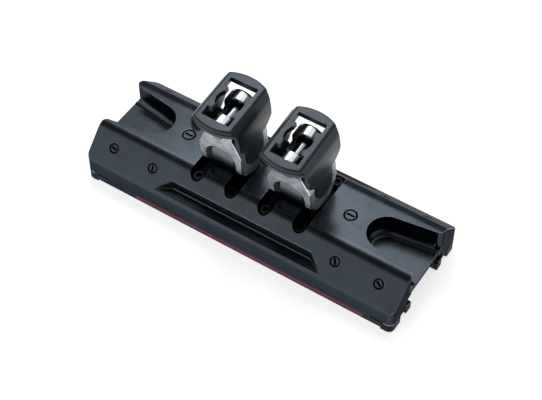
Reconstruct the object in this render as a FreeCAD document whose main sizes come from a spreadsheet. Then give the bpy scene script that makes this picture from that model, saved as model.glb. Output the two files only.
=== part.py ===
import FreeCAD, Part
import math
import os
import Sketcher

V = FreeCAD.Vector

SIZES = {
    # Body of the car, origin at the middle of its underside, X along the track.
    "car_length": 286.0,
    "car_half_width": 50.0,
    "top_height": 45.0,
    "top_half_width": 27.6,
    "side_height": 22.6,
    "foot_chamfer": 2.0,
    "shoulder_radius": 14.0,
    "side_radius": 5.5,
    "corner_radius": 5.0,
    "channel_half_width": 22.0,
    "channel_height": 21.5,
    # Ball rows in the channel walls.
    "ball_radius": 4.7,
    "groove_radius": 5.0,
    "row_offset": 23.8,
    "ball_play": 0.2,
    "row_height": 14.0,
    "bore_offset": 38.0,
    "row_end": 18.0,
    "ball_count": 9,
    "strip_thickness": 1.2,
    "strip_half_height": 6.6,
    "strip_hole_radius": 4.4,
    "strip_gap": 0.1,
    # Ball return pieces in the four leg ends.
    "return_depth": 17.0,
    "return_inner": 20.6,
    "return_side_wall": 4.5,
    "return_height": 20.2,
    "return_gap": 0.1,
    "return_track_height": 9.8,
    "end_wall": 3.0,
    "sole_length": 10.0,
    "sole_height": 8.0,
    "sole_notch_in": 27.5,
    "sole_notch_out": 36.5,
    "sole_notch_depth": 4.0,
    "tab_length": 10.0,
    "tab_start": 10.0,
    "tab_low": 6.8,
    "tab_high": 9.0,
    "tab_sunk": 0.4,
    "return_screw_in": 4.0,
    "return_screw_radius": 1.5,
    "return_head_radius": 2.9,
    "return_head_depth": 2.0,
    "return_screw_reach": 3.5,
    "driver_slot_width": 0.8,
    "driver_slot_depth": 0.9,
    "driver_slot_half": 2.0,
    # Side ledges, seen as long dark recesses in the slopes.
    "ledge_floor": 24.6,
    "ledge_depth": 11.0,
    "ledge_half_top": 64.0,
    "ledge_half_bottom": 82.0,
    "ledge_radius": 4.0,
    "ledge_fillet": 1.5,
    # End scoops.
    "scoop_floor": 26.0,
    "scoop_length": 51.4,
    "scoop_half_in": 16.4,
    "scoop_flare": 8.5,
    "scoop_fillet": 6.0,
    "scoop_mouth_radius": 5.0,
    # Slotted plugs.
    "side_plug_end": 20.5,
    "side_plug_pitch": 38.0,
    "side_plug_rise": 1.2,
    "side_plug_radius": 4.0,
    "top_plug_place": 75.2,
    "top_plug_radius": 5.4,
    "plug_depth": 3.6,
    "plug_gap": 0.4,
    "plug_slot": 1.4,
    "plug_slot_width": 1.9,
    "plug_slot_share": 0.64,
    "plug_chamfer": 0.5,
    # Toggles.
    "toggle_spacing": 62.6,
    "toggle_1_lean": 4.5,
    "toggle_2_lean": 7.5,
    "pivot_height": 60.5,
    "slot_middle": 15.9,
    "slot_half_width": 6.4,
    "slot_reach": 26.9,
    "slot_floor": 31.0,
    "foot_gap": 0.25,
    "foot_thickness": 4.0,
    "screw_radius": 2.6,
    "screw_head_radius": 4.9,
    "screw_head_height": 5.0,
    "screw_reach": 8.0,
    "screw_tip_gap": 0.5,
    "screw_gap": 0.05,
    "screw_ear_gap": 0.4,
    "screw_chamfer": 0.7,
    "hex_half": 2.4,
    "hex_depth": 2.8,
    "knuckle_half_length": 10.4,
    "knuckle_radius": 16.5,
    "neck_half": 12.5,
    "knuckle_edge": 1.2,
    "bush_radius": 7.2,
    "pin_radius": 5.5,
    "pin_gap": 0.05,
    "pin_chamfer": 0.6,
    "washer_gap": 0.15,
    "washer_thickness": 2.5,
    "washer_radius": 10.5,
    "leg_inner": 13.3,
    "leg_outer": 19.6,
    "leg_radius": 18.5,
    "arch_centre": 62.6,
    "shoulder_low": 74.0,
    "shoulder_high": 91.0,
    "shoulder_bend": 8.0,
    "jaw_floor": 82.0,
    "cavity_gap": 0.4,
    "jaw_half_width": 12.6,
    "jaw_gap": 8.5,
    "clevis_height": 95.0,
    "clevis_bush_radius": 6.5,
    "bush_gap": 0.02,
    "clevis_flange_radius": 8.2,
    "clevis_flange": 1.2,
    "clevis_head_radius": 7.4,
    "clevis_head": 2.0,
    "clevis_head_gap": 0.1,
    "ring_slot_half": 1.6,
    "ring_width": 1.0,
    "ring_groove": 4.8,
    "pocket_floor": 16.8,
    "pocket_half_width": 11.6,
    "pocket_centre": 66.0,
    "tongue_half_width": 11.0,
    "tongue_tie": 3.0,
    "tongue_back": 0.3,
    # Stand-up cap.
    "cap_gap": 0.05,
    "cap_half_length": 21.6,
    "cap_bulge": 29.2,
    "cap_rise": 18.5,
    "cap_top_half": 16.5,
    "cap_wide_drop": 15.5,
    "cap_wide_half": 22.6,
    "cap_cheek_drop": 7.5,
    "cap_cheek_in": 1.2,
    "cap_skirt_drop": 24.5,
    "cap_skirt_in": 0.6,
    "cap_height": 33.5,
    "cap_low_half": 21.2,
    "cap_roof_thickness": 5.0,
    "cap_roof_run": 5.0,
    "cap_corner_radius": 3.0,
    "cap_cheek_radius": 8.0,
    "cap_rim_radius": 2.0,
    "cap_end_height": 7.4,
    "cap_groove_drop": 2.8,
    "cap_groove_width": 1.3,
    "cap_groove_depth": 1.2,
    "cap_inner_half": 21.5,
    "cap_skirt_half": 24.5,
    "cap_skirt_turn": 13.5,
    "cap_skirt_foot": 13.0,
    "window_half_width": 12.3,
    "window_half_length": 20.4,
    "window_tab": 8.8,
    "window_circle": 11.5,
}

# Turns of the side plugs' slots, in degrees from the way up the slope, by the plug's place.
SLOT_TURNS = {("in", 1): 30, ("in", -1): 6, ("out", 1): 58, ("out", -1): 80}

doc = FreeCAD.newDocument("traveller_car")
sheet = doc.addObject("Spreadsheet::Sheet", "Sizes")
for row, (alias, number) in enumerate(SIZES.items(), start=1):
    sheet.set("A%d" % row, alias)
    sheet.set("B%d" % row, str(number))
    sheet.setAlias("B%d" % row, alias)
doc.recompute()


class Size:
    """A length that keeps its number together with the expression that drives it."""

    def __init__(self, number, text):
        self.number = float(number)
        self.text = text

    @staticmethod
    def of(value):
        """Return value as a Size, plain numbers included."""
        if isinstance(value, Size):
            return value
        return Size(value, "(%s)" % repr(float(value)))

    def _join(self, other, sign, number):
        other = Size.of(other)
        return Size(number, "(%s %s %s)" % (self.text, sign, other.text))

    def __add__(self, other):
        return self._join(other, "+", self.number + Size.of(other).number)

    def __sub__(self, other):
        return self._join(other, "-", self.number - Size.of(other).number)

    def __mul__(self, other):
        return self._join(other, "*", self.number * Size.of(other).number)

    def __truediv__(self, other):
        return self._join(other, "/", self.number / Size.of(other).number)

    def __radd__(self, other):
        return Size.of(other) + self

    def __rsub__(self, other):
        return Size.of(other) - self

    def __rmul__(self, other):
        return Size.of(other) * self

    def __neg__(self):
        return Size(-self.number, "(0 - %s)" % self.text)


def size(alias):
    """Return the sheet's size of this name."""
    return Size(SIZES[alias], "Sizes.%s" % alias)


def bind(target, path, value):
    """Drive one property of a document object by a size."""
    value = Size.of(value)
    if "Sizes." in value.text:
        target.setExpression(path, value.text)


class Solid:
    """A PartDesign body with short calls for its sketches and features."""

    def __init__(self, name, label):
        self.body = doc.addObject("PartDesign::Body", name)
        self.body.Label = label
        self.count = 0

    def _new(self, kind, word):
        self.count += 1
        return self.body.newObject(kind, "%s_%s%d" % (self.body.Name, word, self.count))

    def sketch(self, role, offset=0, tilt=None):
        """Add a sketch on an origin plane, moved along the plane's normal or tilted to the slope."""
        sk = self._new("Sketcher::SketchObject", "sketch")
        for feature in self.body.Origin.OriginFeatures:
            if feature.Role == role:
                sk.AttachmentSupport = [(feature, "")]
        sk.MapMode = "FlatFace"
        offset = Size.of(offset)
        if tilt is None:
            sk.AttachmentOffset = FreeCAD.Placement(V(0, 0, offset.number), FreeCAD.Rotation())
            bind(sk, "AttachmentOffset.Base.z", offset)
        else:
            angle, across, up = tilt
            sk.AttachmentOffset = FreeCAD.Placement(
                V(0, across.number, up.number), FreeCAD.Rotation(V(1, 0, 0), angle))
            bind(sk, "AttachmentOffset.Base.y", across)
            bind(sk, "AttachmentOffset.Base.z", up)
        return sk

    def _feature(self, kind, word, sk):
        item = self._new(kind, word)
        item.Profile = sk
        sk.Visibility = False
        return item

    def pad(self, sk, length, both=False, back=False):
        """Pad a sketch, to both sides of it or against its normal if asked."""
        item = self._feature("PartDesign::Pad", "pad", sk)
        item.SideType = "Symmetric" if both else "One side"
        item.Reversed = back
        item.Length = Size.of(length).number
        bind(item, "Length", length)
        return item

    def pocket(self, sk, length, both=False, up=False):
        """Cut a sketch away, to both sides of it or along its normal if asked."""
        item = self._feature("PartDesign::Pocket", "pocket", sk)
        item.SideType = "Symmetric" if both else "One side"
        item.Reversed = up
        item.Length = Size.of(length).number
        bind(item, "Length", length)
        return item

    def turn(self, sk):
        """Revolve a sketch about its own vertical axis."""
        item = self._feature("PartDesign::Revolution", "turn", sk)
        item.ReferenceAxis = (sk, ["V_Axis"])
        item.Angle = 360.0
        return item

    def round(self, radius, wanted, chamfer=False):
        """Fillet or chamfer the edges that the test picks out."""
        doc.recompute()
        base = self.body.Tip
        names = []
        for number, edge in enumerate(base.Shape.Edges, start=1):
            if wanted(edge):
                names.append("Edge%d" % number)
        kind = "PartDesign::Chamfer" if chamfer else "PartDesign::Fillet"
        item = self._new(kind, "edge")
        item.Base = (base, names)
        path = "Size" if chamfer else "Radius"
        setattr(item, path, Size.of(radius).number)
        bind(item, path, radius)
        return item


def polygon(sk, points):
    """Draw a closed outline whose corners are driven by sizes."""
    points = [(Size.of(a), Size.of(b)) for a, b in points]
    first = sk.GeometryCount
    total = len(points)
    for i, (a, b) in enumerate(points):
        c, d = points[(i + 1) % total]
        start = V(a.number, b.number, 0)
        end = V(c.number, d.number, 0)
        sk.addGeometry(Part.LineSegment(start, end), False)
    for i in range(total):
        here = first + i
        following = first + (i + 1) % total
        sk.addConstraint(Sketcher.Constraint("Coincident", here, 2, following, 1))
    for i, (a, b) in enumerate(points):
        fix_point(sk, first + i, 1, a, b)


def fix_point(sk, geometry, end, a, b):
    """Tie a sketch point to its two coordinates."""
    if a.number == 0:
        sk.addConstraint(Sketcher.Constraint("PointOnObject", geometry, end, -2))
    else:
        made = sk.addConstraint(Sketcher.Constraint("DistanceX", -1, 1, geometry, end, a.number))
        bind(sk, "Constraints[%d]" % made, a)
    if b.number == 0:
        sk.addConstraint(Sketcher.Constraint("PointOnObject", geometry, end, -1))
    else:
        made = sk.addConstraint(Sketcher.Constraint("DistanceY", -1, 1, geometry, end, b.number))
        bind(sk, "Constraints[%d]" % made, b)


def circle(sk, a, b, radius):
    """Draw a circle driven by sizes."""
    a, b, radius = Size.of(a), Size.of(b), Size.of(radius)
    made = sk.addGeometry(Part.Circle(V(a.number, b.number, 0), V(0, 0, 1), radius.number), False)
    fix_point(sk, made, 3, a, b)
    tied = sk.addConstraint(Sketcher.Constraint("Radius", made, radius.number))
    bind(sk, "Constraints[%d]" % tied, radius)


def rectangle(sk, a0, b0, a1, b1):
    """Draw an upright rectangle between two corners."""
    polygon(sk, [(a0, b0), (a1, b0), (a1, b1), (a0, b1)])


def turned_slot(sk, a, b, half_width, half_length, turn):
    """Draw a driver slot about a point, turned by some degrees from the upright."""
    cosine = math.cos(math.radians(turn))
    sine = math.sin(math.radians(turn))
    ways = [(-1, -1), (1, -1), (1, 1), (-1, 1)]
    polygon(sk, [(a + half_width * (u * cosine) - half_length * (v * sine),
                  b + half_width * (u * sine) + half_length * (v * cosine)) for u, v in ways])


def arc_outline(sk, points, centre, radius):
    """Draw lines through points and close them, last to first, by the shorter arc about a centre."""
    points = [(Size.of(a), Size.of(b)) for a, b in points]
    centre = tuple(Size.of(value) for value in centre)
    middle = V(centre[0].number, centre[1].number, 0)
    first = sk.GeometryCount
    for (a, b), (c, d) in zip(points, points[1:]):
        sk.addGeometry(Part.LineSegment(V(a.number, b.number, 0), V(c.number, d.number, 0)), False)
    angles = [math.atan2(b.number - middle.y, a.number - middle.x)
              for a, b in (points[-1], points[0])]
    turn = (angles[1] - angles[0]) % (2 * math.pi)
    forward = turn < math.pi
    begin = angles[0] if forward else angles[1]
    sweep = turn if forward else 2 * math.pi - turn
    ring = Part.Circle(middle, V(0, 0, 1), Size.of(radius).number)
    arc = sk.addGeometry(Part.ArcOfCircle(ring, begin, begin + sweep), False)
    last = arc - 1
    for i in range(first, last):
        sk.addConstraint(Sketcher.Constraint("Coincident", i, 2, i + 1, 1))
    sk.addConstraint(Sketcher.Constraint("Coincident", last, 2, arc, 1 if forward else 2))
    sk.addConstraint(Sketcher.Constraint("Coincident", arc, 2 if forward else 1, first, 1))
    for i in range(last - first + 1):
        fix_point(sk, first + i, 1, *points[i])
    fix_point(sk, arc, 3, *centre)
    x, y = points[-1]
    steep = abs(y.number - middle.y) > abs(x.number - middle.x)
    kind, free = ("DistanceX", x) if steep else ("DistanceY", y)
    made = sk.addConstraint(Sketcher.Constraint(kind, -1, 1, last, 2, free.number))
    bind(sk, "Constraints[%d]" % made, free)


def corner(sk, x, y, radius, end, side):
    """Draw the waste outside a rounded corner of a plan outline."""
    x, y = x * end, y * side
    centre = (x - radius * end, y - radius * side)
    beyond = (x + 2 * end, y + 2 * side)
    points = [(x, centre[1]), (beyond[0], centre[1]), beyond, (centre[0], beyond[1]), (centre[0], y)]
    arc_outline(sk, points, centre, radius)


def along(edge, direction):
    """Tell whether a straight edge runs along this direction."""
    if edge.Curve.TypeId != "Part::GeomLine":
        return False
    ends = edge.valueAt(edge.FirstParameter), edge.valueAt(edge.LastParameter)
    run = (ends[1] - ends[0]).normalize()
    return abs(abs(run.dot(direction)) - 1.0) < 1e-6


def near(value, target, slack=0.05):
    """Tell whether two numbers agree."""
    return abs(value - target) < slack


half_length = size("car_length") / 2
return_outer = size("car_half_width") - size("return_side_wall")
return_screw_offset = return_outer - size("return_screw_in")
side_plug_out = half_length - size("side_plug_end")
side_plug_in = side_plug_out - size("side_plug_pitch")
side_plug_offset = (size("car_half_width") + size("top_half_width")) / 2 - size("side_plug_rise")
slope_run = size("car_half_width") - size("top_half_width")
slope_drop = size("top_height") - size("side_height")
slope_angle = math.degrees(math.atan2(slope_drop.number, slope_run.number))


def slope_z(offset):
    """Return the height of the sloping side at this distance from the middle."""
    return size("top_height") - (offset - size("top_half_width")) * slope_drop / slope_run


def build_body():
    """Machine the car body from its extrusion."""
    part = Solid("car_body", "Car body")
    wide = size("car_half_width")
    top = size("top_height")
    cut = size("foot_chamfer")
    wall = size("channel_half_width")
    roof = size("channel_height")
    sk = part.sketch("YZ_Plane")
    polygon(sk, [
        (wall, 0), (wide - cut, 0), (wide, cut), (wide, size("side_height")),
        (size("top_half_width"), top), (-size("top_half_width"), top),
        (-wide, size("side_height")), (-wide, cut), (cut - wide, 0), (-wall, 0),
        (-wall, roof), (wall, roof),
    ])
    part.pad(sk, size("car_length"), both=True)

    part.round(size("shoulder_radius"), lambda e: along(e, V(1, 0, 0))
               and near(e.BoundBox.ZMin, SIZES["top_height"]))
    part.round(size("side_radius"), lambda e: along(e, V(1, 0, 0))
               and near(e.BoundBox.ZMin, SIZES["side_height"]))

    sk = part.sketch("XY_Plane", -1)
    for end in (1, -1):
        for side in (1, -1):
            corner(sk, half_length, wide, size("corner_radius"), end, side)
    part.pocket(sk, top + 2, up=True)

    sk = part.sketch("YZ_Plane")
    for side in (1, -1):
        circle(sk, size("row_offset") * side, size("row_height"), size("groove_radius"))
    part.pocket(sk, size("car_length") + 2, both=True)
    sk = part.sketch("YZ_Plane")
    for side in (1, -1):
        circle(sk, size("bore_offset") * side, size("row_height"), size("groove_radius"))
    part.pocket(sk, size("car_length") - 2 * size("end_wall"), both=True)

    sk = part.sketch("XY_Plane", size("scoop_floor"))
    narrow = size("scoop_half_in")
    turn = half_length - size("scoop_length") + narrow
    flare = math.radians(SIZES["scoop_flare"])
    meet_x = turn - narrow * math.sin(flare)
    meet_y = narrow * math.cos(flare)
    mouth_x = half_length + 1
    mouth_y = meet_y + (mouth_x - meet_x) * math.tan(flare)
    for end in (1, -1):
        arc_outline(sk, [(meet_x * end, -meet_y), (mouth_x * end, -mouth_y),
                         (mouth_x * end, mouth_y), (meet_x * end, meet_y)], (turn * end, 0), narrow)
    part.pocket(sk, size("top_height"), up=True)
    part.round(size("scoop_fillet"), scoop_floor_edge)
    bend = size("scoop_mouth_radius")
    end_y = meet_y + (half_length - meet_x) * math.tan(flare)
    bend_y = end_y + bend * ((1 - math.sin(flare)) / math.cos(flare))
    wall_x = half_length - bend * (1 - math.sin(flare))
    wall_y = bend_y - bend * math.cos(flare)
    sk = part.sketch("XY_Plane", size("scoop_floor"))
    for end in (1, -1):
        for side in (1, -1):
            arc_outline(sk, [
                (wall_x * end, wall_y * side), (wall_x * end, (wall_y - 2) * side),
                (mouth_x * end, (wall_y - 2) * side), (mouth_x * end, bend_y * side),
                (half_length * end, bend_y * side),
            ], ((half_length - bend) * end, bend_y * side), bend)
    part.pocket(sk, size("top_height"), up=True)

    ledge_wall = wide - size("ledge_depth")
    sk = part.sketch("XY_Plane", size("ledge_floor"))
    for side in (1, -1):
        polygon(sk, [
            (-size("ledge_half_bottom"), (wide + 1) * side),
            (-size("ledge_half_top"), ledge_wall * side),
            (size("ledge_half_top"), ledge_wall * side),
            (size("ledge_half_bottom"), (wide + 1) * side),
        ])
    part.pocket(sk, size("top_height"), up=True)
    part.round(size("ledge_radius"), lambda e: along(e, V(0, 0, 1))
               and near(abs(e.BoundBox.Center.x), SIZES["ledge_half_top"]))
    inside = ledge_wall.number + SIZES["ledge_fillet"]
    part.round(size("ledge_fillet"), lambda e: near(e.BoundBox.ZMax, SIZES["ledge_floor"])
               and near(e.BoundBox.ZMin, SIZES["ledge_floor"])
               and not (along(e, V(1, 0, 0)) and abs(e.BoundBox.Center.y) > inside))

    sk = part.sketch("XY_Plane", size("slot_floor"))
    for toggle in (-1, 1):
        for side in (-1, 1):
            middle = size("toggle_spacing") / 2 * toggle + size("slot_middle") * side
            rectangle(sk, middle - size("slot_half_width"), -size("slot_reach"),
                      middle + size("slot_half_width"), size("slot_reach"))
    part.pocket(sk, size("top_height"), up=True)
    sk = part.sketch("XY_Plane", size("slot_floor"))
    for toggle in (-1, 1):
        for side in (-1, 1):
            middle = size("toggle_spacing") / 2 * toggle + size("slot_middle") * side
            for end in (-1, 1):
                circle(sk, middle, size("slot_reach") * end, size("slot_half_width"))
    part.pocket(sk, size("top_height"), up=True)
    sk = part.sketch("XY_Plane", size("slot_floor"))
    seat_x = size("knuckle_half_length") + size("foot_gap")
    seat_y = size("neck_half") + size("foot_gap")
    for toggle in (-1, 1):
        middle = size("toggle_spacing") / 2 * toggle
        rectangle(sk, middle - seat_x, -seat_y, middle + seat_x, seat_y)
    part.pocket(sk, size("top_height"), up=True)
    sk = part.sketch("XY_Plane", size("slot_floor"))
    for toggle in (-1, 1):
        for side in (-1, 1):
            middle = size("toggle_spacing") / 2 * toggle + size("slot_middle") * side
            for end in (-1, 1):
                circle(sk, middle, size("slot_reach") * end, size("screw_radius") + size("screw_gap"))
    part.pocket(sk, size("screw_reach") + size("screw_tip_gap"))

    for side in (1, -1):
        tilt = (-slope_angle * side, side_plug_offset * side, slope_z(side_plug_offset))
        sk = part.sketch("XY_Plane", tilt=tilt)
        for place in (side_plug_in, side_plug_out):
            for end in (1, -1):
                circle(sk, place * end, 0, size("side_plug_radius") + size("plug_gap"))
        part.pocket(sk, size("plug_depth"))
    sk = part.sketch("XY_Plane", size("top_height"))
    for end in (1, -1):
        circle(sk, size("top_plug_place") * end, 0, size("top_plug_radius") + size("plug_gap"))
    part.pocket(sk, size("plug_depth"))

    sk = part.sketch("XY_Plane", -1)
    for end in (1, -1):
        for side in (1, -1):
            rectangle(sk, (half_length - size("return_depth")) * end, (size("return_inner") - 1) * side,
                      (half_length - size("end_wall")) * end, return_outer * side)
    part.pocket(sk, size("return_height") + 1, up=True)
    sk = part.sketch("XY_Plane", -1)
    for end in (1, -1):
        for side in (1, -1):
            rectangle(sk, (half_length - size("sole_length")) * end, (size("return_inner") - 1) * side,
                      (half_length + 1) * end, (wide + 1) * side)
    part.pocket(sk, size("sole_height") + 1, up=True)
    sk = part.sketch("XY_Plane", size("tab_low"))
    for end in (1, -1):
        for side in (1, -1):
            rectangle(sk, (half_length - size("tab_start") - size("tab_length")) * end,
                      (return_outer - 1) * side,
                      (half_length - size("tab_start")) * end, (wide + 1) * side)
    part.pocket(sk, size("tab_high") - size("tab_low"), up=True)
    deep = size("return_screw_reach") + size("screw_tip_gap")
    sk = part.sketch("XY_Plane", size("return_height") + deep)
    for end in (1, -1):
        for side in (1, -1):
            circle(sk, (half_length - size("return_depth") / 2) * end,
                   return_screw_offset * side,
                   size("return_screw_radius") + size("screw_gap"))
    part.pocket(sk, deep + 1)
    return part


def scoop_floor_edge(edge):
    """Pick the edges round the floor of the end scoops."""
    box = edge.BoundBox
    flat = near(box.ZMin, SIZES["scoop_floor"]) and near(box.ZMax, SIZES["scoop_floor"])
    return flat and not near(abs(box.Center.x), SIZES["car_length"] / 2)


def build_return(name, label, end, side):
    """Mould one ball return piece: block with its half-round track, and a sole under the end wall."""
    part = Solid(name, label)
    inner = half_length - size("return_depth")
    gap = size("return_gap")
    wide = size("car_half_width")
    sk = part.sketch("XY_Plane")
    rectangle(sk, inner * end, size("return_inner") * side,
              (half_length - size("end_wall") - gap) * end, (return_outer - gap) * side)
    part.pad(sk, size("return_height") - gap)
    sk = part.sketch("XY_Plane")
    rectangle(sk, (half_length - size("sole_length") + gap) * end, size("return_inner") * side,
              half_length * end, wide * side)
    part.pad(sk, size("sole_height") - gap)
    sk = part.sketch("XY_Plane", size("tab_low") + gap)
    rectangle(sk, (half_length - size("tab_start") - size("tab_length") + gap) * end,
              (return_outer - 1) * side,
              (half_length - size("tab_start") + gap) * end,
              (wide - size("tab_sunk")) * side)
    part.pad(sk, size("tab_high") - size("tab_low") - gap * 2)
    middle = (size("row_offset") + size("bore_offset")) / 2
    reach = (size("bore_offset") - size("row_offset")) / 2
    sk = part.sketch("XY_Plane", size("row_height"))
    circle(sk, inner * end, middle * side, reach + size("groove_radius"))
    circle(sk, inner * end, middle * side, reach - size("groove_radius"))
    part.pocket(sk, size("return_track_height"), both=True)
    sk = part.sketch("XY_Plane", -1)
    rectangle(sk, (half_length - size("sole_notch_depth")) * end, size("sole_notch_in") * side,
              (half_length + 1) * end, size("sole_notch_out") * side)
    part.pocket(sk, size("sole_height") + 2, up=True)
    sk = part.sketch("XY_Plane", -1)
    corner(sk, half_length, wide, size("corner_radius"), end, side)
    part.pocket(sk, size("sole_height") + 2, up=True)
    for radius, depth in ((size("return_screw_radius") + gap, size("return_height") + 1),
                          (size("return_head_radius") + gap, size("return_head_depth") + gap)):
        sk = part.sketch("XY_Plane")
        circle(sk, (half_length - size("return_depth") / 2) * end,
               return_screw_offset * side, radius)
        part.pocket(sk, depth, up=True)
    return part


class Toggle:
    """One of the two toggles: its number, its place along the car and its lean at rest."""

    def __init__(self, number, side):
        self.number = number
        self.place = size("toggle_spacing") / 2 * side
        self.lean = "toggle_%d_lean" % number

    def node(self, word):
        """Return the node name of one of the toggle's pieces."""
        return "toggle_%d_%s" % (self.number, word)

    def label(self, words):
        """Return the readable name of one of the toggle's pieces."""
        return "Toggle %d %s" % (self.number, words)

    def seat(self, part):
        """Place a piece that stands still on the car."""
        part.body.Placement = FreeCAD.Placement(V(self.place.number, 0, 0), FreeCAD.Rotation())
        bind(part.body, "Placement.Base.x", self.place)
        return part

    def swing(self, part):
        """Place a piece that leans with the fork about the hinge line."""
        angle = SIZES[self.lean]
        pivot = SIZES["pivot_height"]
        turn = math.radians(angle)
        item = part.body
        item.Placement = FreeCAD.Placement(
            V(self.place.number, pivot * math.sin(turn), pivot * (1 - math.cos(turn))),
            FreeCAD.Rotation(V(1, 0, 0), angle))
        names = {"angle": "Sizes.%s * 1 deg" % self.lean, "pivot": "Sizes.pivot_height"}
        item.setExpression("Placement.Rotation.Angle", names["angle"])
        item.setExpression("Placement.Base.y", "%(pivot)s * sin(%(angle)s)" % names)
        item.setExpression("Placement.Base.z", "%(pivot)s * (1 - cos(%(angle)s))" % names)
        bind(item, "Placement.Base.x", self.place)
        return part


def many(name, label):
    """Start a body that holds several separate solids of one kind."""
    part = Solid(name, label)
    part.body.AllowCompound = True
    return part


def build_side_plugs(name, label, side):
    """Turn the slotted plugs of one sloping side, flush with the slope."""
    part = many(name, label)
    radius = size("side_plug_radius")
    rows = {"in": side_plug_in, "out": side_plug_out}
    places = [rows[row] * end for row, end in SLOT_TURNS]
    tilt = (-slope_angle * side, side_plug_offset * side, slope_z(side_plug_offset))
    sk = part.sketch("XY_Plane", tilt=tilt)
    for place in places:
        circle(sk, place, 0, radius)
    part.pad(sk, size("plug_depth"), back=True)
    inside = slope_z(side_plug_offset).number - SIZES["plug_depth"] / 2
    part.round(size("plug_chamfer"), lambda e: e.Curve.TypeId == "Part::GeomCircle"
               and e.Curve.Center.z > inside, chamfer=True)
    sk = part.sketch("XY_Plane", tilt=tilt)
    for place, turn in zip(places, SLOT_TURNS.values()):
        turned_slot(sk, place, 0, size("plug_slot_width") / 2, radius * size("plug_slot_share"), turn)
    part.pocket(sk, size("plug_slot"))
    return part


def build_top_plugs(name, label):
    """Turn the slotted plugs of the top face."""
    part = many(name, label)
    radius = size("top_plug_radius")
    sk = part.sketch("XY_Plane", size("top_height"))
    for end in (1, -1):
        circle(sk, size("top_plug_place") * end, 0, radius)
    part.pad(sk, size("plug_depth"), back=True)
    part.round(size("plug_chamfer"), lambda e: e.Curve.TypeId == "Part::GeomCircle"
               and near(e.Curve.Center.z, SIZES["top_height"]), chamfer=True)
    sk = part.sketch("XY_Plane", size("top_height"))
    for end in (1, -1):
        place = size("top_plug_place") * end
        rectangle(sk, place - radius * size("plug_slot_share"), -size("plug_slot_width") / 2,
                  place + radius * size("plug_slot_share"), size("plug_slot_width") / 2)
    part.pocket(sk, size("plug_slot"))
    return part


def build_base_screws(toggle):
    """Turn the four socket-head screws of one toggle base."""
    part = many(toggle.node("base_screws"), toggle.label("base screws"))
    under = size("slot_floor") + size("foot_thickness")
    spots = [(size("slot_middle") * side, size("slot_reach") * end)
             for side in (-1, 1) for end in (-1, 1)]
    sk = part.sketch("XY_Plane", under)
    for x, y in spots:
        circle(sk, x, y, size("screw_head_radius"))
    part.pad(sk, size("screw_head_height"))
    sk = part.sketch("XY_Plane", under)
    for x, y in spots:
        circle(sk, x, y, size("screw_radius"))
    part.pad(sk, size("foot_thickness") + size("screw_reach"), back=True)
    part.round(size("screw_chamfer"), lambda e: e.Curve.TypeId == "Part::GeomCircle"
               and near(e.BoundBox.ZMin, (under + size("screw_head_height")).number), chamfer=True)
    sk = part.sketch("XY_Plane", under + size("screw_head_height"))
    corner = size("hex_half") / math.cos(math.radians(30))
    for x, y in spots:
        polygon(sk, [(x + corner * math.cos(math.radians(60 * i)),
                      y + corner * math.sin(math.radians(60 * i))) for i in range(6)])
    part.pocket(sk, size("hex_depth"))
    return toggle.seat(part)


def build_return_screws(name, label, end):
    """Turn the two screws that hold the return pieces of one end."""
    part = many(name, label)
    place = (half_length - size("return_depth") / 2) * end
    under = size("screw_gap")
    places = [return_screw_offset * side for side in (1, -1)]
    for radius, length in ((size("return_head_radius"), size("return_head_depth")),
                           (size("return_screw_radius"),
                            size("return_height") + size("return_screw_reach"))):
        sk = part.sketch("XY_Plane", under)
        for y in places:
            circle(sk, place, y, radius)
        part.pad(sk, length)
    sk = part.sketch("XY_Plane", under)
    for y in places:
        rectangle(sk, place - size("driver_slot_half"), y - size("driver_slot_width") / 2,
                  place + size("driver_slot_half"), y + size("driver_slot_width") / 2)
    part.pocket(sk, size("driver_slot_depth"), up=True)
    return part


def build_balls(name, label, side):
    """Form one row of captive balls."""
    part = many(name, label)
    radius = size("ball_radius").number
    start = size("return_depth") + size("row_end") - half_length
    across = (size("ball_play") - size("row_offset")) * side
    sk = part.sketch("XZ_Plane", across)
    sk.AttachmentOffset = FreeCAD.Placement(
        V(start.number, SIZES["row_height"], across.number), FreeCAD.Rotation())
    bind(sk, "AttachmentOffset.Base.x", start)
    bind(sk, "AttachmentOffset.Base.y", size("row_height"))
    ring = Part.Circle(V(0, 0, 0), V(0, 0, 1), radius)
    sk.addGeometry(Part.ArcOfCircle(ring, -math.pi / 2, math.pi / 2), False)
    sk.addGeometry(Part.LineSegment(V(0, radius, 0), V(0, -radius, 0)), False)
    sk.addConstraint(Sketcher.Constraint("Coincident", 0, 3, -1, 1))
    sk.addConstraint(Sketcher.Constraint("Coincident", 0, 2, 1, 1))
    sk.addConstraint(Sketcher.Constraint("Coincident", 1, 2, 0, 1))
    sk.addConstraint(Sketcher.Constraint("PointOnObject", 0, 1, -2))
    sk.addConstraint(Sketcher.Constraint("PointOnObject", 0, 2, -2))
    tied = sk.addConstraint(Sketcher.Constraint("Radius", 0, radius))
    bind(sk, "Constraints[%d]" % tied, size("ball_radius"))
    ball = part.turn(sk)
    row = part._new("PartDesign::LinearPattern", "row")
    row.Originals = [ball]
    for feature in part.body.Origin.OriginFeatures:
        if feature.Role == "X_Axis":
            row.Direction = (feature, [""])
    row.Length = -start.number * 2
    bind(row, "Length", -start * 2)
    row.Occurrences = int(SIZES["ball_count"])
    row.setExpression("Occurrences", "Sizes.ball_count")
    part.body.Tip = row
    return part


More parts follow.
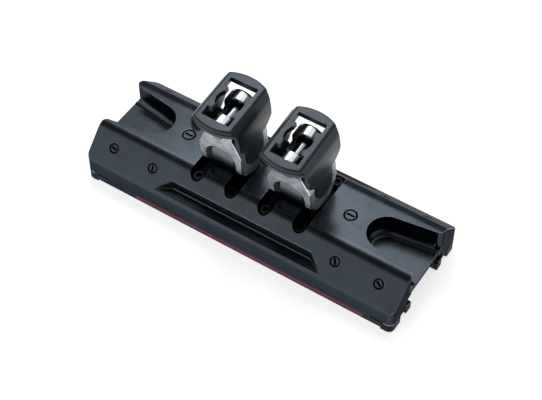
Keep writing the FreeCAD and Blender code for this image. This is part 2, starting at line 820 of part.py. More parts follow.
def build_strip(name, label, side):
    """Punch the strip that keeps one ball row in its groove."""
    part = Solid(name, label)
    wall = size("channel_half_width") - size("strip_gap")
    middle = size("row_height")
    reach = half_length - size("return_depth") - size("strip_gap")
    sk = part.sketch("XZ_Plane", -wall * side)
    rectangle(sk, -reach, middle - size("strip_half_height"), reach,
              middle + size("strip_half_height"))
    part.pad(sk, size("strip_thickness"), back=side < 0)
    count = int(SIZES["ball_count"])
    last = half_length - size("return_depth") - size("row_end")
    sk = part.sketch("XZ_Plane", -wall * side)
    for i in range(count):
        circle(sk, last * (2 * i / (count - 1) - 1), middle, size("strip_hole_radius"))
    part.pocket(sk, size("strip_thickness") * 2 + 2, both=True)
    return part


def build_base(toggle):
    """Machine a toggle base: round knuckle on a neck, and a foot with four screw ears."""
    part = Solid(toggle.node("base"), toggle.label("base"))
    neck = size("neck_half")
    gap = size("foot_gap")
    middle = size("slot_middle")
    reach = size("slot_reach")
    ear = size("slot_half_width") - gap
    foot = size("foot_thickness")
    sk = part.sketch("XY_Plane", size("slot_floor"))
    rectangle(sk, -(middle + ear), -neck, middle + ear, neck)
    part.pad(sk, foot)
    sk = part.sketch("XY_Plane", size("slot_floor"))
    for side in (-1, 1):
        rectangle(sk, middle * side - ear, -reach, middle * side + ear, reach)
    part.pad(sk, foot)
    sk = part.sketch("XY_Plane", size("slot_floor"))
    for side in (-1, 1):
        for end in (-1, 1):
            circle(sk, middle * side, reach * end, ear)
    part.pad(sk, foot)
    sk = part.sketch("YZ_Plane")
    rectangle(sk, -neck, size("slot_floor"), neck, size("pivot_height"))
    part.pad(sk, size("knuckle_half_length") * 2, both=True)
    sk = part.sketch("YZ_Plane")
    circle(sk, 0, size("pivot_height"), size("knuckle_radius"))
    part.pad(sk, size("knuckle_half_length") * 2, both=True)
    part.round(size("knuckle_edge"),
               lambda e: near(abs(e.BoundBox.Center.x), SIZES["knuckle_half_length"])
               and e.BoundBox.XLength < 0.01 and e.BoundBox.ZMax > SIZES["pivot_height"] - 0.1)
    sk = part.sketch("YZ_Plane")
    circle(sk, 0, size("pivot_height"), size("bush_radius"))
    part.pocket(sk, size("knuckle_half_length") * 2 + 2, both=True)
    sk = part.sketch("XY_Plane", size("slot_floor") + foot)
    for side in (-1, 1):
        for end in (-1, 1):
            circle(sk, middle * side, reach * end, size("screw_radius") + size("screw_ear_gap"))
    part.pocket(sk, foot + 1)
    return toggle.seat(part)


def build_hinge_bush(toggle):
    """Turn the bush that is pressed into the knuckle."""
    part = Solid(toggle.node("hinge_bush"), toggle.label("hinge bush"))
    sk = part.sketch("YZ_Plane")
    circle(sk, 0, size("pivot_height"), size("bush_radius"))
    circle(sk, 0, size("pivot_height"), size("pin_radius") + size("pin_gap"))
    part.pad(sk, size("knuckle_half_length") * 2, both=True)
    return toggle.seat(part)


def build_hinge_pin(toggle):
    """Turn the hinge pin with broken ends."""
    part = Solid(toggle.node("hinge_pin"), toggle.label("hinge pin"))
    sk = part.sketch("YZ_Plane")
    circle(sk, 0, size("pivot_height"), size("pin_radius"))
    part.pad(sk, size("pocket_floor") * 2, both=True)
    part.round(size("pin_chamfer"), lambda e: e.Curve.TypeId == "Part::GeomCircle", chamfer=True)
    return toggle.swing(part)


def build_washers(toggle):
    """Turn the two thrust washers beside the knuckle."""
    part = many(toggle.node("hinge_washers"), toggle.label("hinge washers"))
    for side in (1, -1):
        sk = part.sketch("YZ_Plane", (size("knuckle_half_length") + size("washer_gap")) * side)
        circle(sk, 0, size("pivot_height"), size("washer_radius"))
        circle(sk, 0, size("pivot_height"), size("pin_radius") + size("pin_gap"))
        part.pad(sk, size("washer_thickness"), back=side < 0)
    return toggle.swing(part)


def build_clevis_bushes(toggle):
    """Turn the two flanged bushes in the jaws."""
    part = many(toggle.node("clevis_bushes"), toggle.label("clevis bushes"))
    clevis = size("clevis_height")
    for side in (1, -1):
        sk = part.sketch("XZ_Plane", (size("jaw_gap") - size("clevis_flange")) * side)
        circle(sk, 0, clevis, size("clevis_flange_radius"))
        part.pad(sk, size("clevis_flange"), back=side < 0)
        sk = part.sketch("XZ_Plane", size("jaw_gap") * side)
        circle(sk, 0, clevis, size("clevis_bush_radius") - size("bush_gap"))
        part.pad(sk, size("leg_radius") - size("jaw_gap") - size("clevis_head_gap"), back=side < 0)
    sk = part.sketch("XZ_Plane")
    circle(sk, 0, clevis, size("pin_radius") + size("pin_gap"))
    part.pocket(sk, size("leg_radius") * 2 + 2, both=True)
    return toggle.swing(part)


def build_clevis_pin(toggle):
    """Turn the clevis pin: head at the far side, ring groove at the near side."""
    part = Solid(toggle.node("clevis_pin"), toggle.label("clevis pin"))
    clevis = size("clevis_height")
    face = size("leg_radius")
    gap = size("clevis_head_gap")
    sk = part.sketch("XZ_Plane", face + size("clevis_head"))
    circle(sk, 0, clevis, size("pin_radius"))
    part.pad(sk, face * 2 + size("clevis_head") + gap, back=True)
    sk = part.sketch("XZ_Plane", -face - gap)
    circle(sk, 0, clevis, size("clevis_head_radius"))
    part.pad(sk, size("clevis_head"), back=True)
    sk = part.sketch("XZ_Plane", face + gap / 2)
    circle(sk, 0, clevis, size("pin_radius") + 1)
    circle(sk, 0, clevis, size("ring_groove"))
    part.pocket(sk, size("ring_width") + gap, up=True)
    ends = ((face + size("clevis_head")).number, (face + gap + size("clevis_head")).number)
    part.round(size("pin_chamfer"), lambda e: e.Curve.TypeId == "Part::GeomCircle"
               and any(near(abs(e.BoundBox.Center.y), y, 0.01) for y in ends), chamfer=True)
    return toggle.swing(part)


def build_clevis_ring(toggle):
    """Stamp the open retaining ring of the clevis pin."""
    part = Solid(toggle.node("clevis_ring"), toggle.label("clevis ring"))
    clevis = size("clevis_height")
    sk = part.sketch("XZ_Plane", size("leg_radius") + size("clevis_head_gap"))
    circle(sk, 0, clevis, size("clevis_head_radius"))
    circle(sk, 0, clevis, size("ring_groove") + size("bush_gap"))
    part.pad(sk, size("ring_width"))
    sk = part.sketch("XZ_Plane", size("leg_radius"))
    rectangle(sk, -size("ring_slot_half"), clevis,
              size("ring_slot_half"), clevis + size("clevis_head_radius") + 1)
    part.pocket(sk, size("ring_width") * 2 + 1, both=True)
    return toggle.swing(part)


def build_fork(toggle):
    """Machine a toggle fork: round legs below, sloping shoulders, two jaws above."""
    part = Solid(toggle.node("fork"), toggle.label("fork"))
    pivot = size("pivot_height")
    deep = size("leg_radius")
    outer = size("leg_outer")
    inner = size("leg_inner")
    clevis = size("clevis_height")
    jaw = size("jaw_half_width")
    low = size("shoulder_low")
    high = size("shoulder_high")
    cavity = size("knuckle_radius") + size("cavity_gap")
    sk = part.sketch("XZ_Plane")
    polygon(sk, [(-outer, pivot), (outer, pivot), (outer, low), (jaw, high),
                 (jaw, clevis), (-jaw, clevis), (-jaw, high), (-outer, low)])
    part.pad(sk, deep * 2, both=True)
    part.round(size("shoulder_bend"), lambda e: along(e, V(0, 1, 0))
               and (near(e.BoundBox.ZMin, low.number) or near(e.BoundBox.ZMin, high.number)))
    sk = part.sketch("XZ_Plane")
    circle(sk, 0, clevis, jaw)
    part.pad(sk, deep * 2, both=True)
    sk = part.sketch("YZ_Plane")
    arc_outline(sk, [(-deep, pivot), (-deep, pivot + 1), (deep, pivot + 1), (deep, pivot)],
                (0, pivot), deep)
    part.pad(sk, outer * 2, both=True)
    sk = part.sketch("YZ_Plane")
    rectangle(sk, -size("jaw_gap"), size("jaw_floor"), size("jaw_gap"), clevis + jaw + 1)
    part.pocket(sk, outer * 2 + 2, both=True)
    sk = part.sketch("YZ_Plane")
    rectangle(sk, -cavity, pivot - deep - 1, cavity, pivot)
    part.pocket(sk, inner * 2, both=True)
    sk = part.sketch("YZ_Plane")
    circle(sk, 0, pivot, cavity)
    part.pocket(sk, inner * 2, both=True)
    sk = part.sketch("XZ_Plane")
    rectangle(sk, -inner, pivot - deep - 1, inner, size("arch_centre"))
    part.pocket(sk, deep * 2 + 2, both=True)
    sk = part.sketch("XZ_Plane")
    circle(sk, 0, size("arch_centre"), inner)
    part.pocket(sk, deep * 2 + 2, both=True)
    for side in (1, -1):
        sk = part.sketch("YZ_Plane", size("pocket_floor") * side)
        rectangle(sk, -size("pocket_half_width"), size("pocket_centre"), size("pocket_half_width"),
                  high)
        part.pocket(sk, outer, up=side > 0)
        sk = part.sketch("YZ_Plane", size("pocket_floor") * side)
        circle(sk, 0, size("pocket_centre"), size("pocket_half_width"))
        part.pocket(sk, outer, up=side > 0)
    sk = part.sketch("YZ_Plane")
    circle(sk, 0, pivot, size("pin_radius") + size("pin_gap"))
    part.pocket(sk, outer * 2 + 2, both=True)
    sk = part.sketch("XZ_Plane")
    circle(sk, 0, clevis, size("clevis_bush_radius"))
    part.pocket(sk, deep * 2 + 2, both=True)
    return toggle.swing(part)


def build_cap(toggle):
    """Mould a stand-up cap: hood with a keyhole window, skirts and two tongues."""
    part = Solid(toggle.node("cap"), toggle.label("stand-up cap"))
    wide = size("cap_wide_half")
    top = size("clevis_height") + size("cap_rise")
    low = top - size("cap_height")
    end_low = top - size("cap_end_height")
    roof = top - size("cap_roof_thickness")
    widest = top - size("cap_wide_drop")
    cheek = top - size("cap_cheek_drop")
    bulge = size("cap_bulge")
    end_y = size("cap_half_length")
    sk = part.sketch("XZ_Plane")
    right = [
        (size("cap_low_half"), low),
        (wide - size("cap_skirt_in"), top - size("cap_skirt_drop")),
        (wide, widest), (wide - size("cap_cheek_in"), cheek),
        (size("cap_top_half"), top),
    ]
    polygon(sk, right + [(-a, b) for a, b in reversed(right)])
    part.pad(sk, bulge * 2, both=True)
    part.round(size("cap_corner_radius"),
               lambda e: along(e, V(0, 1, 0)) and near(e.BoundBox.ZMin, top.number))
    part.round(size("cap_cheek_radius"),
               lambda e: along(e, V(0, 1, 0)) and near(e.BoundBox.ZMin, cheek.number))
    rise = bulge - end_y
    end_radius = (wide * wide + rise * rise) / (rise * 2)
    sk = part.sketch("XY_Plane", top + 1)
    for side in (1, -1):
        arc_outline(sk, [
            (wide, end_y * side), (wide + 1, end_y * side), (wide + 1, (bulge + 1) * side),
            (-wide - 1, (bulge + 1) * side), (-wide - 1, end_y * side), (-wide, end_y * side),
        ], (0, (bulge - end_radius) * side), end_radius)
    part.pocket(sk, top - low + 2)
    part.round(size("cap_rim_radius"), lambda e: near(e.BoundBox.ZMin, top.number)
               and e.BoundBox.XLength > 1.0)
    turn = top - size("cap_skirt_turn")
    reach = size("cap_skirt_half")
    foot = size("cap_skirt_foot")
    run = reach - foot
    drop = turn - low
    skirt_radius = (run * run + drop * drop) / (run * 2)
    sk = part.sketch("YZ_Plane")
    for side in (1, -1):
        arc_outline(sk, [
            (reach * side, turn), (reach * side, end_low), ((bulge + 1) * side, end_low),
            ((bulge + 1) * side, low - 1), (foot * side, low - 1), (foot * side, low),
        ], ((reach - skirt_radius) * side, turn), skirt_radius)
    part.pocket(sk, wide * 2 + 2, both=True)
    inner = size("leg_outer") + size("cap_gap")
    shoulder = inner - size("cap_roof_run")
    sk = part.sketch("XZ_Plane")
    polygon(sk, [
        (inner, low - 1), (inner, widest), (shoulder, roof),
        (-shoulder, roof), (-inner, widest), (-inner, low - 1),
    ])
    part.pocket(sk, size("cap_inner_half") * 2, both=True)
    sk = part.sketch("XZ_Plane")
    rectangle(sk, -inner, low - 1, inner, end_low)
    part.pocket(sk, bulge * 2 + 2, both=True)

    groove = top - size("cap_groove_drop")
    deep = size("cap_groove_depth")
    sk = part.sketch("XY_Plane", groove)
    for side in (1, -1):
        arc_outline(sk, [
            (wide, (end_y - deep) * side), (wide + 1, (end_y - deep) * side),
            (wide + 1, (bulge + 1) * side), (-wide - 1, (bulge + 1) * side),
            (-wide - 1, (end_y - deep) * side), (-wide, (end_y - deep) * side),
        ], (0, (bulge - deep - end_radius) * side), end_radius)
    part.pocket(sk, size("cap_groove_width"))
    sk = part.sketch("XZ_Plane")
    rectangle(sk, -wide - 1, groove - size("cap_groove_width"), -size("cap_top_half") - deep, groove)
    part.pocket(sk, bulge * 2 + 2, both=True)

    sk = part.sketch("XY_Plane", top + 1)
    for side in (1, -1):
        rectangle(sk, -size("window_half_width"), size("window_circle") * side,
                  size("window_half_width"), size("window_half_length") * side)
    part.pocket(sk, top + 2 - roof)
    sk = part.sketch("XY_Plane", top + 1)
    rectangle(sk, -size("window_tab"), -size("window_circle") - 1, size("window_tab"),
              size("window_circle") + 1)
    part.pocket(sk, top + 2 - roof)
    sk = part.sketch("XY_Plane", top + 1)
    circle(sk, 0, 0, size("window_circle"))
    part.pocket(sk, top + 2 - roof)
    tongue = size("cap_low_half") - size("tongue_back") - size("pocket_floor")
    for side in (1, -1):
        sk = part.sketch("YZ_Plane", size("pocket_floor") * side)
        rectangle(sk, -size("tongue_half_width"), size("pocket_centre"),
                  size("tongue_half_width"), low + size("tongue_tie"))
        part.pad(sk, tongue, back=side < 0)
        sk = part.sketch("YZ_Plane", size("pocket_floor") * side)
        circle(sk, 0, size("pocket_centre"), size("tongue_half_width"))
        part.pad(sk, tongue, back=side < 0)
    return toggle.swing(part)


NODES = []

build_body()
NODES.append("car_body")

for end_word, end in (("left", -1), ("right", 1)):
    for side_word, side in (("near", -1), ("far", 1)):
        node = "ball_return_%s_%s" % (side_word, end_word)
        build_return(node, "Ball return, %s %s" % (side_word, end_word), end, side)
        NODES.append(node)

for toggle in (Toggle(1, -1), Toggle(2, 1)):
    for build in (build_base, build_hinge_bush, build_hinge_pin, build_fork, build_washers,
                  build_base_screws, build_clevis_bushes, build_clevis_pin, build_clevis_ring,
                  build_cap):
        NODES.append(build(toggle).body.Name)

for side_word, side in (("near", -1), ("far", 1)):
    build_side_plugs("side_plugs_" + side_word, "Side plugs, " + side_word, side)
    build_balls("balls_" + side_word, "Ball row, " + side_word, side)
    build_strip("ball_strip_" + side_word, "Ball strip, " + side_word, side)
    NODES += [w + side_word for w in ("side_plugs_", "balls_", "ball_strip_")]
build_top_plugs("top_plugs", "Top plugs")
for end_word, end in (("left", -1), ("right", 1)):
    build_return_screws("return_screws_" + end_word, "Return screws, " + end_word, end)
    NODES.append("return_screws_" + end_word)
NODES.append("top_plugs")

doc.recompute()

os.makedirs("parts", exist_ok=True)
for item in doc.Objects:
    if "Invalid" in item.State or "Error" in item.State:
        raise RuntimeError("%s is %s" % (item.Name, item.State))
for node in NODES:
    shape = doc.getObject(node).Shape
    if shape.isNull() or not shape.isValid():
        raise RuntimeError("%s has no valid shape" % node)
    shape.exportStep("parts/%s.step" % node)
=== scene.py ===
"""Looks of a mainsheet traveller car with two stand-up toggles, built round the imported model."""

import logging
import math
from dataclasses import dataclass, field
from enum import Enum, IntEnum
from typing import Callable, Optional, Sequence

import bmesh
import bpy
from mathutils import Matrix, Vector


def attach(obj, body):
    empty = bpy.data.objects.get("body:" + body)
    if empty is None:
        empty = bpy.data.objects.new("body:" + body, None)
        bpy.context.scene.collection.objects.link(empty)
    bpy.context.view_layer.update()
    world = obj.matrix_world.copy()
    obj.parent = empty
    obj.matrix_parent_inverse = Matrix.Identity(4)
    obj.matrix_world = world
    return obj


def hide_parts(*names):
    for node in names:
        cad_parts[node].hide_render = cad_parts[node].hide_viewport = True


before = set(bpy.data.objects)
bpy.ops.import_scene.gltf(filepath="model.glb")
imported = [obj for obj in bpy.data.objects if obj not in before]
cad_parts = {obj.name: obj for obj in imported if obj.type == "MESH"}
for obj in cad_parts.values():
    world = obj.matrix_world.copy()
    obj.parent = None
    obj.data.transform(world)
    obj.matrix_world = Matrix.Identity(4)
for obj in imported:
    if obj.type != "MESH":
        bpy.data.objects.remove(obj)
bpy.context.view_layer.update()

log = logging.getLogger("traveller_car")
MM = 0.001
WHITE = (1.0, 1.0, 1.0, 1.0)
# Nearly all the values of a noise texture lie between these two.
NOISE_LOW, NOISE_HIGH = 0.3, 0.7
# A Mix node's colour sockets share their names with its number sockets, so they go by number.
MIX_A, MIX_B, MIX_RESULT = 6, 7, 2
# Parts of a unit normal that leans by 45 degrees, and how exactly they are met.
LEANING, LEANING_SLACK = math.sqrt(0.5), 0.001


class Body(Enum):
    """The rigid bodies that pieces ride on."""

    CAR = "car"
    TOGGLE_1 = "toggle_1"
    TOGGLE_2 = "toggle_2"


class Slot(Enum):
    """The record's material slots."""

    BODY = "anodised_body"
    MOULDING = "black_moulding"
    METAL = "black_metal"
    CAP = "cap_moulding"
    STEEL = "stainless"
    BRONZE = "bush_bronze"
    WASHER = "washer_plastic"
    BALL = "ball_plastic"


class Side(Enum):
    """The car's long sides, of which the near one looks at the camera."""

    NEAR = "near"
    FAR = "far"

    @property
    def way(self) -> float:
        """Give the side's direction along Y."""
        return -1.0 if self is Side.NEAR else 1.0


class End(Enum):
    """The car's two ends."""

    LEFT = "left"
    RIGHT = "right"


class Coat(IntEnum):
    """Which of a piece's finishes a face wears, in the order in which the piece gets them."""

    FIRST = 0
    SECOND = 1
    THIRD = 2


def linear(colour: str) -> tuple[float, float, float, float]:
    """Turn an sRGB hex colour to linear light.

    Args:
        colour: Six hex digits after a hash sign.

    Returns:
        Red, green, blue and a full alpha.
    """
    parts = [int(colour[i:i + 2], 16) / 255 for i in (1, 3, 5)]
    light = [p / 12.92 if p <= 0.04045 else ((p + 0.055) / 1.055) ** 2.4 for p in parts]
    return (light[0], light[1], light[2], 1.0)


def add_node(tree: bpy.types.NodeTree, kind: str, settings: Optional[dict[str, object]] = None,
             inputs: Optional[dict[str | int, object]] = None) -> bpy.types.Node:
    """Add a node with its settings, its input values and the links into it.

    Args:
        tree: The node tree that gets the node.
        kind: The node's type name.
        settings: Attribute values.
        inputs: Values or output sockets, by input name or number.

    Returns:
        The new node.
    """
    node = tree.nodes.new(kind)
    for name, value in (settings or {}).items():
        setattr(node, name, value)
    for name, value in (inputs or {}).items():
        socket = node.inputs[name]
        if isinstance(value, bpy.types.NodeSocket):
            tree.links.new(value, socket)
        else:
            socket.default_value = value
    return node


@dataclass(frozen=True)
class Finish:
    """One real surface: what it is made of and how it was made.

    Its colour and roughness vary in a pattern of wide blotches and fine grain.

    Attributes:
        name: The material's name.
        colour: Its colour at one end of the pattern.
        shade: Its colour at the other end.
        roughness: The middle roughness.
        spread: How far the roughness varies each way.
        metallic: 1 for bare metal, less where a coat dims it, 0 for plastic.
        ior: Index of refraction, for plastics.
        sheen_level: Strength of a plastic's mirror light.
        tint: Colour of the mirror light, at a glancing angle on metal.
        grain: Size of the grain, in millimetres.
        grain_detail: Octaves of the grain's noise.
        stretch: The grain's scale along each axis: under 1 draws it out.
        share: The grain's part in the pattern.
        relief: Depth of the grain, in millimetres.
        blotch: Size of the blotches, in millimetres.
        blotch_detail: Octaves of the blotches' noise.
    """

    name: str
    colour: str
    shade: str
    roughness: float
    spread: float = 0.05
    metallic: float = 0.0
    ior: float = 1.5
    sheen_level: float = 0.5
    tint: str = "#ffffff"
    grain: float = 1.2
    grain_detail: float = 2.0
    stretch: tuple[float, float, float] = (1.0, 1.0, 1.0)
    share: float = 0.45
    relief: float = 0.0
    blotch: float = 12.0
    blotch_detail: float = 3.0

    def material(self) -> bpy.types.Material:
        """Build the material, once for all the pieces that wear it.

        Returns:
            The node material.
        """
        done = bpy.data.materials.get(self.name)
        if done is not None:
            return done
        made = bpy.data.materials.new(self.name)
        made.use_nodes = True
        tree = made.node_tree
        shader = tree.nodes["Principled BSDF"]
        place = add_node(tree, "ShaderNodeTexCoord").outputs["Object"]
        blotch = add_node(tree, "ShaderNodeTexNoise",
                          inputs={"Vector": place, "Scale": 1 / (self.blotch * MM),
                                  "Detail": self.blotch_detail})
        along = add_node(tree, "ShaderNodeMapping",
                         inputs={"Vector": place, "Scale": self.stretch})
        grain = add_node(tree, "ShaderNodeTexNoise",
                         inputs={"Vector": along.outputs["Vector"], "Scale": 1 / (self.grain * MM),
                                 "Detail": self.grain_detail})
        both = add_node(tree, "ShaderNodeMix", {"data_type": "FLOAT"},
                        {"Factor": self.share, "A": blotch.outputs["Fac"],
                         "B": grain.outputs["Fac"]})
        ramp = add_node(tree, "ShaderNodeValToRGB", inputs={"Fac": both.outputs["Result"]})
        low, high = ramp.color_ramp.elements
        low.position, low.color = NOISE_LOW, linear(self.colour)
        high.position, high.color = NOISE_HIGH, linear(self.shade)
        rough = add_node(tree, "ShaderNodeMapRange",
                         inputs={"Value": both.outputs["Result"], "From Min": NOISE_LOW,
                                 "From Max": NOISE_HIGH, "To Min": self.roughness - self.spread,
                                 "To Max": self.roughness + self.spread})
        tree.links.new(self.paint(tree, place, ramp.outputs["Color"]), shader.inputs["Base Color"])
        tree.links.new(rough.outputs["Result"], shader.inputs["Roughness"])
        shader.inputs["Metallic"].default_value = self.metallic
        shader.inputs["Specular IOR Level"].default_value = self.sheen_level
        shader.inputs["Specular Tint"].default_value = linear(self.tint)
        if not self.metallic:
            shader.inputs["IOR"].default_value = self.ior
        if self.relief:
            bump = add_node(tree, "ShaderNodeBump",
                            inputs={"Height": grain.outputs["Fac"], "Distance": self.relief * MM,
                                    "Strength": 1.0})
            tree.links.new(bump.outputs["Normal"], shader.inputs["Normal"])
        return made

    def paint(self, tree: bpy.types.NodeTree, place: bpy.types.NodeSocket,
              colour: bpy.types.NodeSocket) -> bpy.types.NodeSocket:
        """Leave the surface unprinted."""
        return colour


@dataclass(frozen=True)
class Mark:
    """A band of another colour on a body.

    Attributes:
        colour: The band's colour.
        x: Its limits along the car, in millimetres.
        y: Its limits across the car, in millimetres.
        z: Its limits in height, in millimetres.
        both_ways: It is also on the other side of the car and at its other end.
    """

    colour: str
    x: tuple[float, float]
    y: tuple[float, float]
    z: tuple[float, float]
    both_ways: bool = False


@dataclass(frozen=True)
class Marked(Finish):
    """A finish with printed or worn bands, and bands of painted highlight.

    Attributes:
        marks: The bands.
    """

    marks: tuple[Mark, ...] = ()

    def paint(self, tree: bpy.types.NodeTree, place: bpy.types.NodeSocket,
              colour: bpy.types.NodeSocket) -> bpy.types.NodeSocket:
        """Lay the bands over the colour.

        Args:
            tree: The node tree.
            place: Object coordinates.
            colour: The colour under the bands.

        Returns:
            The colour with the bands.
        """
        for mark in self.marks:
            spot = place
            if mark.both_ways:
                spot = add_node(tree, "ShaderNodeVectorMath", {"operation": "ABSOLUTE"},
                                {0: place}).outputs["Vector"]
            axes = add_node(tree, "ShaderNodeSeparateXYZ", inputs={"Vector": spot})
            mask: float | bpy.types.NodeSocket = 1.0
            for axis, (low, high) in (("X", mark.x), ("Y", mark.y), ("Z", mark.z)):
                middle, reach = (low + high) / 2 * MM, (high - low) / 2 * MM
                inside = add_node(tree, "ShaderNodeMath", {"operation": "COMPARE"},
                                  {0: axes.outputs[axis], 1: middle, 2: reach})
                mask = add_node(tree, "ShaderNodeMath", {"operation": "MULTIPLY"},
                                {0: inside.outputs["Value"], 1: mask}).outputs["Value"]
            mixed = add_node(tree, "ShaderNodeMix", {"data_type": "RGBA"},
                             {"Factor": mask, MIX_A: colour, MIX_B: linear(mark.colour)})
            colour = mixed.outputs[MIX_RESULT]
        return colour


# Thin line screen-printed low along the near side: dull, and redder than all round it.
PRINTED_LINE = Mark("#7a4a57", x=(-95.0, 118.0), y=(-51.0, -49.6), z=(3.5, 7.2))
# Metal rubbed bare over the four corner soles, with a painted highlight along the lower edge
# there: short light ticks.
RUBBED_HIGHLIGHT_LINE = Mark("#c9cdd0", x=(135.5, 144.0), y=(40.0, 51.0), z=(8.0, 8.8), both_ways=True)
# Hard-anodised aluminium extrusion: dyed oxide over metal, satin, blue-grey where it mirrors
# light, with faint drawing lines along the car. Real lines are 0.1 mm apart and are drawn coarser.
ANODISED = Marked("anodised_extrusion", "#373d43", "#41474e", roughness=0.27, spread=0.035,
                  metallic=1.0, tint="#98989a", grain=1.1, stretch=(0.03, 1.0, 1.0), relief=0.0015,
                  blotch=16.0, marks=(PRINTED_LINE, RUBBED_HIGHLIGHT_LINE))
# The same oxide where handling has thinned it on the edges: paler and smoother.
ANODISED_EDGE = Finish("anodised_worn_edge", "#586067", "#6f777e", roughness=0.3, spread=0.04,
                       metallic=1.0, grain=1.0, blotch=5.0)
# Its milled pockets: painted darker as the shade in the ledges, and end-mill marks break up what
# they mirror, so they stay even.
MILLED_POCKET_SHADE = Finish("anodised_milled_pocket_painted_shade", "#262b30", "#2d3338", roughness=0.5, spread=0.05,
                       metallic=1.0, tint="#484e53", grain=0.9, relief=0.002, blotch=8.0)
# Glass-filled nylon from a spark-eroded tool: broad soft sheen; its 0.3 mm grain is drawn coarser.
NYLON = Finish("moulded_nylon", "#1f2328", "#292e34", roughness=0.34, spread=0.04, ior=1.53,
               sheen_level=0.52, tint="#dceafa", grain=1.0, relief=0.012, blotch=9.0)
# The same nylon on its edges, where hands have rubbed it and a highlight is painted along the
# rims: paler and free of grain.
NYLON_EDGE_HIGHLIGHT = Finish("moulded_nylon_rubbed_edge_highlight", "#2b3036", "#373d44", roughness=0.3, spread=0.04,
                    ior=1.53, sheen_level=0.52, tint="#dceafa", grain=1.0, blotch=5.0)
# Black acetal moulding: close-grained and waxy, dull where sand has rubbed it.
ACETAL = Finish("moulded_acetal", "#090b0d", "#101316", roughness=0.55, spread=0.06, ior=1.48,
                sheen_level=0.15, grain=1.0, relief=0.01, blotch=8.0)
# Machined and black-anodised aluminium: turned or milled, a little duller than the extrusion.
BLACK_METAL = Finish("anodised_machined", "#3c4248", "#474e55", roughness=0.34, spread=0.04,
                     metallic=0.9, tint="#878e94", grain=0.9, relief=0.002, blotch=10.0)
# Knuckle of the hinge: milled, its black anodising painted greyer as the light that falls on it.
KNUCKLE_PAINTED_LIGHT = Finish("anodised_knuckle_painted_light", "#666d74", "#757c83", roughness=0.4, spread=0.05,
                 metallic=0.9, tint="#9aa0a5", grain=0.9, relief=0.002, blotch=8.0)
# Slots and recesses: painted black as shade, because no light comes back out of them.
RECESS_SHADE = Finish("recess_painted_shade", "#0b0d0f", "#121517", roughness=0.6, spread=0.06, metallic=0.6,
                 tint="#50565b", grain=0.9, blotch=4.0)
# Hard-coated plain bush: dry lubricant over black anodising, matt.
COATED_BUSH = Finish("coated_bush", "#1a1d20", "#24282b", roughness=0.4, spread=0.05, metallic=0.9,
                     tint="#7c8287", grain=0.9, blotch=4.0)
# Black-oxide steel screws: oily and dull, so that they read black in their slots.
BLACK_STEEL = Finish("black_oxide_steel", "#16191c", "#202428", roughness=0.42, spread=0.06,
                     metallic=1.0, tint="#50565b", grain=0.8, relief=0.002, blotch=4.0)
# Nitrile sealing ring: dead black and matt, and it also stands for the shade in the gap round each
# plug.
NITRILE_SEAL_SHADE = Finish("nitrile_seal_painted_shade", "#060708", "#0a0b0c", roughness=0.8, spread=0.05,
                 sheen_level=0.15, grain=0.9, blotch=4.0)
# Cast stainless, tumbled bright: soft grey shine with shallow stone marks of 2 to 3 mm.
TUMBLED_STEEL = Finish("tumbled_stainless", "#9aa1aa", "#dfe4ea", roughness=0.46, spread=0.08,
                       metallic=0.85, grain=2.4, share=0.3, relief=0.006, blotch=7.0)
# The same steel on its edges, which the stones struck most: brighter and smoother.
TUMBLED_EDGE = Finish("tumbled_stainless_edge", "#d2d5d8", "#e3e5e7", roughness=0.24, spread=0.04,
                      metallic=1.0, grain=2.0, blotch=6.0)
# Jaws of the same casting, polished by the block that swings in them: they mirror their hoods.
POLISHED_STEEL = Finish("polished_stainless_jaw", "#9ba0a4", "#b3b7ba", roughness=0.16,
                        spread=0.04, metallic=1.0, grain=2.0, relief=0.001, blotch=6.0)
# Centreless-ground stainless pin: bright, with fine rings round its axis.
GROUND_STEEL = Finish("ground_stainless", "#6f7479", "#83888d", roughness=0.2, spread=0.04,
                      metallic=1.0, grain=1.0, stretch=(1.0, 0.2, 1.0), relief=0.001)
# Stamped spring steel, plated bright: a sharp light line round each ring.
SPRING_STEEL = Finish("plated_spring_steel", "#b9bdc1", "#d0d3d6", roughness=0.2, spread=0.05,
                      metallic=1.0, grain=1.0, blotch=3.0)
# Sintered bronze, oil-soaked: warm, matt and finely porous.
BRONZE = Finish("sintered_bronze", "#8d6a3a", "#75542b", roughness=0.42, spread=0.06, metallic=1.0,
                grain=0.9, relief=0.01, blotch=4.0)
# Natural acetal washers, turned: milky and slightly waxy.
NATURAL_ACETAL = Finish("natural_acetal", "#cfcabd", "#dedacf", roughness=0.42, spread=0.05,
                        ior=1.48, grain=0.9, blotch=5.0)
# Moulded and tumbled imide balls: amber-brown, polished by rolling.
IMIDE = Finish("moulded_imide", "#5f4d1e", "#73602b", roughness=0.26, spread=0.05, ior=1.6,
               grain=0.9, blotch=3.0)


